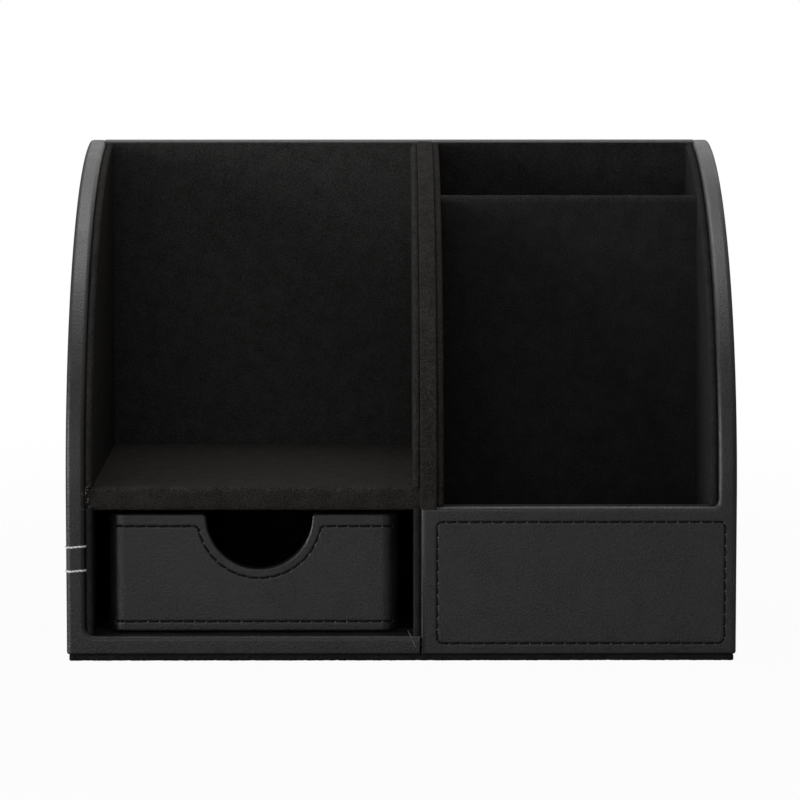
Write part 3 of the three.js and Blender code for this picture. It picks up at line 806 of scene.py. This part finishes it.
def back_leather():
    """The back panel's leather, wide enough that no board shows beside the sides' leather."""
    cover_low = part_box("back_cover")[0]
    board_low, board_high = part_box("back_board")
    radius = EDGE_ROUNDING
    outline = [
        (board_high.y, CASE_FLOOR),
        (REAR, CASE_FLOOR),
        *arc(REAR - radius, TOP - radius, radius, 0, 90, EDGE_STEPS),
        *arc(cover_low.y + radius, TOP - radius, radius, 90, 180, EDGE_STEPS),
        (cover_low.y, board_high.z - TURN_IN),
        (board_low.y, board_high.z - TURN_IN),
        (board_low.y, board_high.z),
        (board_high.y, board_high.z),
    ]
    end = BOARD_INNER_X + TUCK
    made = prism("back_leather", outline, "x", -end, end)
    dress(made, LEATHER_FINISH, "case", ["back_cover"])


left_leather()
right_leather()
back_leather()


# Leather of the drawer
DRAWER_FRONT = DRAWER_LOW.y
DRAWER_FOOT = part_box("drawer_bottom_cover")[0].z
NOTCH_X = (DRAWER_LOW.x + DRAWER_HIGH.x) / 2 + NOTCH_OFFSET
BOARD_NOTCH_RADIUS = 18.6 * MM
BOARD_NOTCH_DROP = 1.2 * MM
BOARD_NOTCH_CORNER = 0.6 * MM
NOTCH_RADIUS = 18.2 * MM
NOTCH_DROP = 0.9 * MM
NOTCH_CORNER = 1.5 * MM
DRAWER_CORNER = 5.8 * MM
DRAWER_ROUNDING = 0.8 * MM
DRAWER_BOARD_INNER = LEATHER + GAP + DRAWER_WALL
DRAWER_INNER = DRAWER_BOARD_INNER + LEATHER
DRAWER_SEAM_LEFT = 1.2 * MM
DRAWER_SEAM_RIGHT = 1.4 * MM
DRAWER_SEAM_TOP = 4.3 * MM
DRAWER_SEAM_FOOT = 3.4 * MM
NOTCH_SEAM_GAP = 3.2 * MM
DRAWER_SLOT_STEP = 0.65 * MM


def drawer_outline(inset):
    x0, x1 = DRAWER_LOW.x + inset, DRAWER_HIGH.x - inset
    y0, y1 = DRAWER_LOW.y + inset, DRAWER_HIGH.y - inset
    radius = DRAWER_CORNER - inset
    return [
        *arc(x1 - radius, y1 - radius, radius, 0, 90, DRAWER_CORNER_STEPS),
        *arc(x0 + radius, y1 - radius, radius, 90, 180, DRAWER_CORNER_STEPS),
        *arc(x0 + radius, y0 + radius, radius, 180, 270, DRAWER_CORNER_STEPS),
        *arc(x1 - radius, y0 + radius, radius, 270, 360, DRAWER_CORNER_STEPS),
    ]


def drawer_core(inset, z0, z1):
    """The space inside the drawer's outline at an inset."""
    return block(
        "core",
        (DRAWER_LOW.x + inset, DRAWER_LOW.y + inset, z0),
        (DRAWER_HIGH.x - inset, DRAWER_HIGH.y - inset, z1))


def notch(radius, drop, corner, top, depth):
    """A round notch in the drawer's front, its centre dropped below the top, which it meets
    in rounded corners."""
    centre_z = DRAWER_HIGH.z - drop
    corner_z = top - corner
    reach = math.sqrt((radius + corner) ** 2 - (centre_z - corner_z) ** 2)
    lean = math.degrees(math.atan2(corner_z - centre_z, reach))
    outline = [
        (NOTCH_X - reach, DRAWER_HIGH.z + OVERRUN),
        *arc(NOTCH_X - reach, corner_z, corner, 90, -lean, CORNER_STEPS),
        *arc(NOTCH_X, centre_z, radius, 180 - lean, 360 + lean, NOTCH_STEPS)[1:-1],
        *arc(NOTCH_X + reach, corner_z, corner, 180 + lean, 90, CORNER_STEPS),
        (NOTCH_X + reach, DRAWER_HIGH.z + OVERRUN),
    ]
    return prism("notch", outline, "y", DRAWER_FRONT - OVERRUN, DRAWER_FRONT + depth + OVERRUN)


def drawer_seams():
    """The drawer front's stitching: along its top and round the notch, and along its foot.
    Both lines run a little way round the corners."""
    u0, u1 = DRAWER_LOW.x + DRAWER_SEAM_LEFT, DRAWER_HIGH.x - DRAWER_SEAM_RIGHT
    top = DRAWER_HIGH.z - DRAWER_SEAM_TOP
    foot = DRAWER_FOOT + DRAWER_SEAM_FOOT
    radius = NOTCH_RADIUS + NOTCH_SEAM_GAP
    centre_z = DRAWER_HIGH.z - NOTCH_DROP
    corner = SEAM_TIP
    reach = math.sqrt((radius + corner) ** 2 - (centre_z - top + corner) ** 2)
    lean = math.degrees(math.atan2(top - corner - centre_z, reach))
    along_top = Seam([
        (u0, top),
        *arc(NOTCH_X - reach, top - corner, corner, 90, -lean, TIP_STEPS),
        *arc(NOTCH_X, centre_z, radius, 180 - lean, 360 + lean, NOTCH_SEAM_STEPS)[1:-1],
        *arc(NOTCH_X + reach, top - corner, corner, 180 + lean, 90, TIP_STEPS),
        (u1, top),
    ])
    return [along_top, Seam([(u0, foot), (u1, foot)])]


def drawer_lift(flat):
    """The drawer's front, which goes on round its rounded corners."""
    u, v = flat
    centre_x = min(max(u, DRAWER_LOW.x + DRAWER_CORNER), DRAWER_HIGH.x - DRAWER_CORNER)
    angle = (u - centre_x) / DRAWER_CORNER
    normal = Vector((math.sin(angle), -math.cos(angle), 0))
    return Vector((centre_x, DRAWER_FRONT + DRAWER_CORNER, v)) + normal * DRAWER_CORNER, normal


def drawer_leather():
    """The drawer's leather, from its outside over the rims to the turned-in edge within."""
    made = prism("drawer_leather", drawer_outline(0), "z", DRAWER_FOOT, DRAWER_HIGH.z)
    over, under = DRAWER_HIGH.z + OVERRUN, DRAWER_FOOT - OVERRUN
    inside = drawer_core(DRAWER_INNER, under, over)
    opening = notch(NOTCH_RADIUS, NOTCH_DROP, NOTCH_CORNER, DRAWER_HIGH.z, DRAWER_INNER)
    combine(made, [inside, opening], "DIFFERENCE")

    def share(middle):
        at_wall = min(
            middle.x - DRAWER_LOW.x, DRAWER_HIGH.x - middle.x,
            middle.y - DRAWER_LOW.y, DRAWER_HIGH.y - middle.y) < DRAWER_BOARD_INNER / 2
        return 1.0 if middle.z > DRAWER_FOOT + DRAWER_TURN_IN or at_wall else 0.0
    round_edges(made, DRAWER_ROUNDING, segments=4, share=share, sharper_than=60)
    room = prism("board_room", drawer_outline(LEATHER), "z", under, DRAWER_HIGH.z - LEATHER)
    core = drawer_core(DRAWER_BOARD_INNER, DRAWER_HIGH.z - LEATHER - DRAWER_TURN_IN, over)
    opening = notch(
        BOARD_NOTCH_RADIUS, BOARD_NOTCH_DROP, BOARD_NOTCH_CORNER, DRAWER_HIGH.z - LEATHER,
        DRAWER_INNER - OVERRUN)
    combine(room, [core, opening], "DIFFERENCE")
    combine(made, [room], "DIFFERENCE")
    sew(made, "drawer", [("drawer_stitching", drawer_seams(), drawer_lift, DRAWER_SLOT_STEP)])
    dress(made, LEATHER_FINISH, "drawer", ["drawer_wrap"])


drawer_leather()


# Velvet: a roll is a velvet edge, a section of (across, depth) points swept along stations
NAP_HEIGHT = 0.14 * MM
NAP_DEPTH = 2.4 * MM
NAP_STEP = 0.55 * MM
CARD_ROUNDING = 1.0 * MM
STRIP_ROUNDING = 0.42 * MM
SHELF_ROUNDING = 1.9 * MM
SHELF_SAG = 1.3 * MM
ROLL_DEPTH = 4.0 * MM
FELT_ROUNDING = 0.5 * MM
FELT_CORNER = 1.5 * MM
FELT_RIM = 1.2 * MM
TUFT = 0.9 * MM
TUFT_PATCH = 3.3 * MM
TUFT_PATCH_SHARE = 0.7
NAP_FADE = 1.3
STRIP_OVERLAP = 0.15 * MM
STRIP_FOOT = MM
PARTITION_ROUNDING_SHARE = 0.45


def spread(start, end, step):
    count = max(1, math.ceil(abs(end - start) / step))
    return [start + (end - start) * i / count for i in range(count + 1)]


def round_front(a0, a1, rounding, depth):
    """A section with a rounded front at depth 0, open for its back at another depth."""
    side = spread(depth, rounding, NAP_STEP)
    across = spread(a0 + rounding, a1 - rounding, NAP_STEP)
    return [
        *[(a0, d) for d in side[:-1]],
        *arc(a0 + rounding, rounding, rounding, 180, 270, TIP_STEPS),
        *[(a, 0) for a in across[1:-1]],
        *arc(a1 - rounding, rounding, rounding, 270, 360, TIP_STEPS),
        *[(a1, d) for d in reversed(side[:-1])],
    ]


def folded_front(a0, a1, rounding, depth):
    """The same, but only as thick as the velvet, for a board to stand in."""
    return [
        *round_front(a0, a1, rounding, depth),
        (a1 - VELVET, depth),
        (a1 - VELVET, VELVET),
        (a0 + VELVET, VELVET),
        (a0 + VELVET, depth),
    ]


def add_roll(shape, section, stations, place, closed=False, floor_z=-math.inf):
    """Sweeps a section of velvet and ruffles its pile, less and less with the depth."""
    start = len(shape.verts)
    rings = [[place(station, across, depth) for across, depth in section] for station in stations]
    sweep(shape, rings, closed)
    bmesh.ops.recalc_face_normals(shape, faces=shape.faces)
    shape.normal_update()
    shape.verts.ensure_lookup_table()
    moves = []
    for i, vert in enumerate(shape.verts[start:]):
        depth = section[i % len(section)][1]
        tuft = noise.noise(vert.co / TUFT)
        tuft += TUFT_PATCH_SHARE * noise.noise(vert.co / TUFT_PATCH)
        fade = min(max(NAP_FADE * (1 - depth / NAP_DEPTH), 0), 1)
        moves.append((vert, vert.normal * tuft * NAP_HEIGHT * fade))
    for vert, move in moves:
        vert.co += move
        vert.co.z = max(vert.co.z, floor_z)


def dress_velvet(name, shape, replaced, finish):
    dress(adopt(name, shape), finish, "case", [replaced], sharp_angle=70)


# Stations of the case's front edge: metres below the arch, or radians along it
def arch_place(station, across, depth):
    if station < 0:
        return Vector((across, FRONT + depth, STRAIGHT_FRONT_HEIGHT + station))
    y = ARCH_CENTRE_Y - (ARCH_REACH - depth) * math.cos(station)
    z = STRAIGHT_FRONT_HEIGHT + (ARCH_RISE - depth) * math.sin(station)
    return Vector((across, min(y, BACK_PANEL_FRONT), z))


def arch_stations(bottom, top):
    """Stations from a height up to another, or all the way back to the back panel."""
    below = top if top < STRAIGHT_FRONT_HEIGHT else STRAIGHT_FRONT_HEIGHT
    found = []
    if bottom < below:
        found = spread(bottom - STRAIGHT_FRONT_HEIGHT, below - STRAIGHT_FRONT_HEIGHT, NAP_STEP)
    if below == top:
        return found
    start = math.asin(max(bottom - STRAIGHT_FRONT_HEIGHT, 0) / ARCH_RISE)
    end = math.acos((ARCH_CENTRE_Y - BACK_PANEL_FRONT) / (ARCH_REACH - LINING_SETBACK))
    return found[:-1] + spread(start, end, NAP_STEP / ARCH_RISE)


def upright_linings():
    """The velvet-covered cards on the sides and on the divider."""
    for name in (
        "left_side_lining_upper", "left_side_lining_lower", "right_side_lining",
        "divider_lining_left_upper", "divider_lining_left_lower", "divider_lining_right",
    ):
        lo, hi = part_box(name)
        top = math.inf if hi.z > STRAIGHT_FRONT_HEIGHT else hi.z
        behind_panel = lo.x > PANEL_LOW.x
        foot = PANEL_HIGH.z + GAP if behind_panel else lo.z
        shape = bmesh.new()
        add_roll(
            shape,
            round_front(lo.x, hi.x, CARD_ROUNDING, NAP_DEPTH),
            arch_stations(foot, top),
            lambda station, across, depth: arch_place(station, across, LINING_SETBACK + depth))
        card = profile(LINING_SETBACK + NAP_DEPTH - TUCK, foot, BACK_PANEL_FRONT, top, steps=90)
        if behind_panel:
            card = [
                *card[:-1], (BACK_PANEL_FRONT, lo.z), (PANEL_HIGH.y, lo.z), (PANEL_HIGH.y, foot)]
        add_prism(shape, card, "x", lo.x, hi.x)
        # Lower linings and the right lining take the dark velvet as painted shade, the other
        # linings the lighter copy as painted sheen
        dark = name.endswith("lower") or name.startswith("right")
        finish = VELVET_FINISH if dark else SHEEN_PAINTED_VELVET_FINISH
        dress_velvet(name.replace("lining", "velvet"), shape, name, finish)


def divider_strip():
    """The velvet over the divider's front edge, which also closes the gaps beside its board."""
    lo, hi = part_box("divider_edge_strip")
    section = round_front(lo.x - STRIP_OVERLAP, hi.x + STRIP_OVERLAP, STRIP_ROUNDING, NAP_DEPTH)
    shape = bmesh.new()
    add_roll(shape, section, arch_stations(PANEL_HIGH.z - STRIP_FOOT, math.inf), arch_place)
    # The strip's lighter velvet is painted sheen
    dress_velvet("divider_edge_velvet", shape, "divider_edge_strip", SHEEN_PAINTED_VELVET_FINISH)


def shelf_velvet():
    """The shelf's velvet, folded round its front edge, which sags a little."""
    def place(x, z, depth):
        sag = SHELF_SAG * math.cos(math.pi / 2 * min(depth / ROLL_DEPTH, 1)) ** 2
        share = (SHELF_HIGH.z - z) / (SHELF_HIGH.z - SHELF_LOW.z)
        return Vector((x, SHELF_LOW.y + depth, z - sag * share ** 2))
    shape = bmesh.new()
    add_roll(
        shape, folded_front(SHELF_LOW.z, SHELF_HIGH.z, SHELF_ROUNDING, ROLL_DEPTH),
        spread(SHELF_LOW.x, SHELF_HIGH.x, NAP_STEP), place)
    back = SHELF_LOW.y + ROLL_DEPTH - TUCK
    for z in (SHELF_LOW.z, SHELF_HIGH.z - VELVET):
        sheet = rectangle(back, BACK_PANEL_FRONT, z, z + VELVET)
        add_prism(shape, sheet, "x", SHELF_LOW.x, SHELF_HIGH.x)
    # The shelf's lighter velvet is painted sheen
    dress_velvet("shelf_covering", shape, "shelf_velvet", SHEEN_PAINTED_VELVET_FINISH)


def partition_velvet():
    """The partition's velvet, folded over its top."""
    lo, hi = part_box("partition_velvet")
    shape = bmesh.new()
    add_roll(
        shape,
        folded_front(lo.y, hi.y, (hi.y - lo.y) * PARTITION_ROUNDING_SHARE, ROLL_DEPTH),
        spread(lo.x, hi.x, NAP_STEP),
        lambda x, y, depth: Vector((x, y, hi.z - depth)))
    foot = hi.z - ROLL_DEPTH + TUCK
    for y in (lo.y, hi.y - VELVET):
        add_prism(shape, rectangle(y, y + VELVET, lo.z, foot), "x", lo.x, hi.x)
    dress_velvet("partition_covering", shape, "partition_velvet", VELVET_FINISH)


def felt():
    """The felt under the base, its cut rim a little frayed."""
    lo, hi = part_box("base_felt")
    rim = Seam(soften(rectangle(lo.x, hi.x, lo.y, hi.y), FELT_CORNER), closed=True)
    inset = FELT_RIM - TUCK
    shape = bmesh.new()
    add_roll(
        shape, round_front(lo.z, hi.z, FELT_ROUNDING, FELT_RIM), rim.rows(NAP_STEP),
        lambda row, z, depth: Vector((*(row[0] + row[1] * depth), z)),
        closed=True, floor_z=0)
    add_prism(
        shape, rectangle(lo.x + inset, hi.x - inset, lo.y + inset, hi.y - inset),
        "z", lo.z, hi.z)
    dress_velvet("base_felt_sheet", shape, "base_felt", FELT_FINISH)


upright_linings()
divider_strip()
shelf_velvet()
partition_velvet()
felt()


# Loose threads and tacks
LINT_COUNT = 12
LINT_RADIUS = 0.06 * MM
LINT_PLACES = (0, 1.4 * MM)
LINT_DEPTHS = (0.4 * MM, 1.0 * MM)
LINT_LENGTHS = (1.0 * MM, 2.6 * MM)
LINT_REACH = 0.5 * MM
LOOSE_THREAD_RADIUS = 0.11 * MM
LOOSE_THREAD_LENGTH = 7.2 * MM
LOOSE_THREAD_X = 5.0 * MM
LOOSE_THREAD_DEPTH = 0.1 * MM
LOOSE_THREAD_FOOT = 4.2 * MM
LOOSE_THREAD_LEAN = -0.22
TACK_HEIGHTS = (39.4 * MM, 31.1 * MM)
TACK_RADIUS = 0.36 * MM
TACK_SINK_SHARE = 0.35
TACK_END = 1.5 * MM
TACK_RISE = 0.3 * MM


def add_strand(shape, start, direction, length, radius, dice, curl, count=10):
    """A limp fibre that wanders from its start."""
    centres = [Vector(start)]
    heading = Vector(direction).normalized()
    for _ in range(count):
        wander = Vector([dice.gauss(0, curl) for _ in range(3)])
        heading = (heading + wander).normalized()
        centres.append(centres[-1] + heading * length / count)
    add_tube(shape, centres, [radius] * len(centres), sides=5)


def shelf_joint_lint():
    """Fibres that stick out where the shelf meets the left side."""
    dice = random.Random(21)
    shape = bmesh.new()
    for _ in range(LINT_COUNT):
        start = (
            -COVER_INNER_X + dice.uniform(*LINT_PLACES),
            FRONT + dice.uniform(*LINT_DEPTHS),
            dice.uniform(SHELF_LOW.z - LINT_REACH, SHELF_HIGH.z + LINT_REACH))
        heading = (dice.gauss(0, 0.5), -0.15, dice.gauss(0, 1))
        length = dice.uniform(*LINT_LENGTHS)
        add_strand(shape, start, heading, length, LINT_RADIUS, dice, curl=0.3)
    dress(adopt("shelf_joint_lint", shape), LINT_FINISH, "case")


def rail_seam_thread():
    """A thread end in the joint between the base rail and the front panel."""
    shape = bmesh.new()
    start = (LOOSE_THREAD_X, FRONT + LOOSE_THREAD_DEPTH, LOOSE_THREAD_FOOT)
    add_strand(
        shape, start, (LOOSE_THREAD_LEAN, 0, 1), LOOSE_THREAD_LENGTH, LOOSE_THREAD_RADIUS,
        random.Random(5), curl=0.05)
    dress(adopt("rail_seam_thread", shape), LINT_FINISH, "case")


def side_tacks():
    """Two pale threads laid across the left side's front edge."""
    shape = bmesh.new()
    out = EDGE_ROUNDING + TACK_RADIUS * TACK_SINK_SHARE
    left, right = -OUTER_X + EDGE_ROUNDING, -COVER_INNER_X - EDGE_ROUNDING
    centre_y = FRONT + EDGE_ROUNDING
    for height in TACK_HEIGHTS:
        centres = [Vector((left - out, centre_y + TACK_END, height))]
        for u, v in arc(left, centre_y, out, 180, 270, CORNER_STEPS):
            centres.append(Vector((u, v, height)))
        for u, v in arc(right, centre_y, out, 270, 360, CORNER_STEPS):
            centres.append(Vector((u, v, height + TACK_RISE)))
        centres.append(Vector((right + out, centre_y + TACK_END, height + TACK_RISE)))
        add_tube(shape, centres, [TACK_RADIUS] * len(centres), sides=10)
    dress(adopt("side_tacks", shape), PALE_FINISH, "case")


shelf_joint_lint()
rail_seam_thread()
side_tacks()


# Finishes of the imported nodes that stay
def finish_of(name):
    if "brad" in name:
        return STEEL_FINISH
    if name.endswith("_board"):
        return BOARD_FINISH
    if "felt" in name:
        return FELT_FINISH
    # The upper left back wall takes the lighter velvet copy as painted light
    if name == "back_lining_left_upper":
        return PAINTED_LIGHT_VELVET_FINISH
    if "velvet" in name or "lining" in name or "strip" in name:
        return VELVET_FINISH
    return LEATHER_FINISH


for name, packed in frame["nodes"].items():
    for material_slot in packed.material_slots:
        material_slot.material = finish_of(name)


# Floor, light and camera
FLOOR_REACH = 4.0
FLOOR_THICKNESS = 0.02


def seen(tree):
    """1 for what the camera sees straight, 0 for what lights and reflections see."""
    return node(tree, "ShaderNodeLightPath").outputs["Is Camera Ray"]


def floor():
    """A pale floor that the camera sees as white, with part of the shadow near the box."""
    made = prism(
        "floor", rectangle(-FLOOR_REACH, FLOOR_REACH, -FLOOR_REACH, FLOOR_REACH),
        "z", -FLOOR_THICKNESS, 0)
    material, tree, shader = new_material("pale_floor")
    place = object_place(tree)
    speckle = cloud(tree, place, cell=2 * MM)
    colour = ramp(tree, speckle, [(0.0, grey(0.28)), (1.0, grey(0.32))])
    tree.links.new(colour, shader.inputs["Base Color"])
    shader.inputs["Roughness"].default_value = 0.9
    shader.inputs["Specular IOR Level"].default_value = 0.0
    glow = node(tree, "ShaderNodeEmission", {"Color": (1, 1, 1, 1), "Strength": 1.0})
    reach = node(tree, "ShaderNodeVectorMath", {0: place}, operation="LENGTH")
    share = node(tree, "ShaderNodeMapRange", {
        "Value": reach.outputs["Value"],
        "From Min": 0.25,
        "From Max": 0.7,
        "To Min": 0.96,
        "To Max": 1.0,
    })
    glow_share = node(tree, "ShaderNodeMath", {
        0: seen(tree), 1: share.outputs["Result"]}, operation="MULTIPLY")
    mix = node(tree, "ShaderNodeMixShader", {
        0: glow_share.outputs[0], 1: shader.outputs["BSDF"], 2: glow.outputs["Emission"]})
    output = next(n for n in tree.nodes if n.type == "OUTPUT_MATERIAL")
    tree.links.new(mix.outputs[0], output.inputs["Surface"])
    made.data.materials.append(material)


def world():
    """White behind the box, and a soft sky that is brighter above than at eye level."""
    made = bpy.data.worlds.new("studio")
    made.use_nodes = True
    tree = made.node_tree
    tree.nodes.clear()
    output = tree.nodes.new("ShaderNodeOutputWorld")
    direction = node(tree, "ShaderNodeTexCoord").outputs["Generated"]
    up = node(tree, "ShaderNodeSeparateXYZ", {0: direction}).outputs["Z"]
    strength = node(tree, "ShaderNodeMapRange", {
        "Value": up,
        "From Min": 0.0,
        "From Max": 0.8,
        "To Min": 0.12,
        "To Max": 0.5,
    })
    sky = node(tree, "ShaderNodeBackground", {
        "Color": (1, 1, 1, 1), "Strength": strength.outputs["Result"]})
    backdrop = node(tree, "ShaderNodeBackground", {"Color": (1, 1, 1, 1), "Strength": 1.0})
    mix = node(tree, "ShaderNodeMixShader", {
        0: seen(tree), 1: sky.outputs[0], 2: backdrop.outputs[0]})
    tree.links.new(mix.outputs[0], output.inputs["Surface"])
    bpy.context.scene.world = made


LIGHT_AIM = Vector((0, 0, 0.09))


def softbox(name, place, width, height, power, colour=(1, 1, 1)):
    """A soft rectangular light that faces the box."""
    light = bpy.data.lights.new(name, "AREA")
    light.color = colour
    light.shape = "RECTANGLE"
    light.size = width
    light.size_y = height
    light.energy = power
    made = bpy.data.objects.new(name, light)
    made.location = place
    made.rotation_euler = (LIGHT_AIM - made.location).to_track_quat("-Z", "Y").to_euler()
    bpy.context.scene.collection.objects.link(made)


CAMERA_DISTANCE = 1.450
CAMERA_HEIGHT = 0.2426
CAMERA_SIDE = -0.009
CAMERA_TILT = 6.0
CAMERA_YAW = 0.335
FOCAL_PIXELS = 4271.3
IMAGE_PIXELS = 800
SENSOR_WIDTH = 36


def camera():
    data = bpy.data.cameras.new("camera")
    data.sensor_width = SENSOR_WIDTH
    data.lens = FOCAL_PIXELS / IMAGE_PIXELS * data.sensor_width
    data.clip_start = 0.01
    data.clip_end = 20
    made = bpy.data.objects.new("camera", data)
    made.location = (CAMERA_SIDE, FRONT - CAMERA_DISTANCE, CAMERA_HEIGHT)
    made.rotation_euler = (math.radians(90 - CAMERA_TILT), 0, -math.radians(CAMERA_YAW))
    bpy.context.scene.collection.objects.link(made)
    bpy.context.scene.camera = made


floor()
world()
softbox(
    "top_light", (-0.2, 0.2, 1.25), width=0.9, height=1.2, power=9.5, colour=(0.98, 0.965, 1.0))
softbox("back_light", (0.2, 1.4, 0.9), width=1.4, height=0.8, power=3)
softbox("left_light", (-1.6, -0.8, 0.27), width=1.1, height=0.52, power=20)
softbox("front_light", (-0.4, -1.85, 0.37), width=1.0, height=0.7, power=3.9)
camera()

bpy.context.scene.view_settings.view_transform = "Standard"
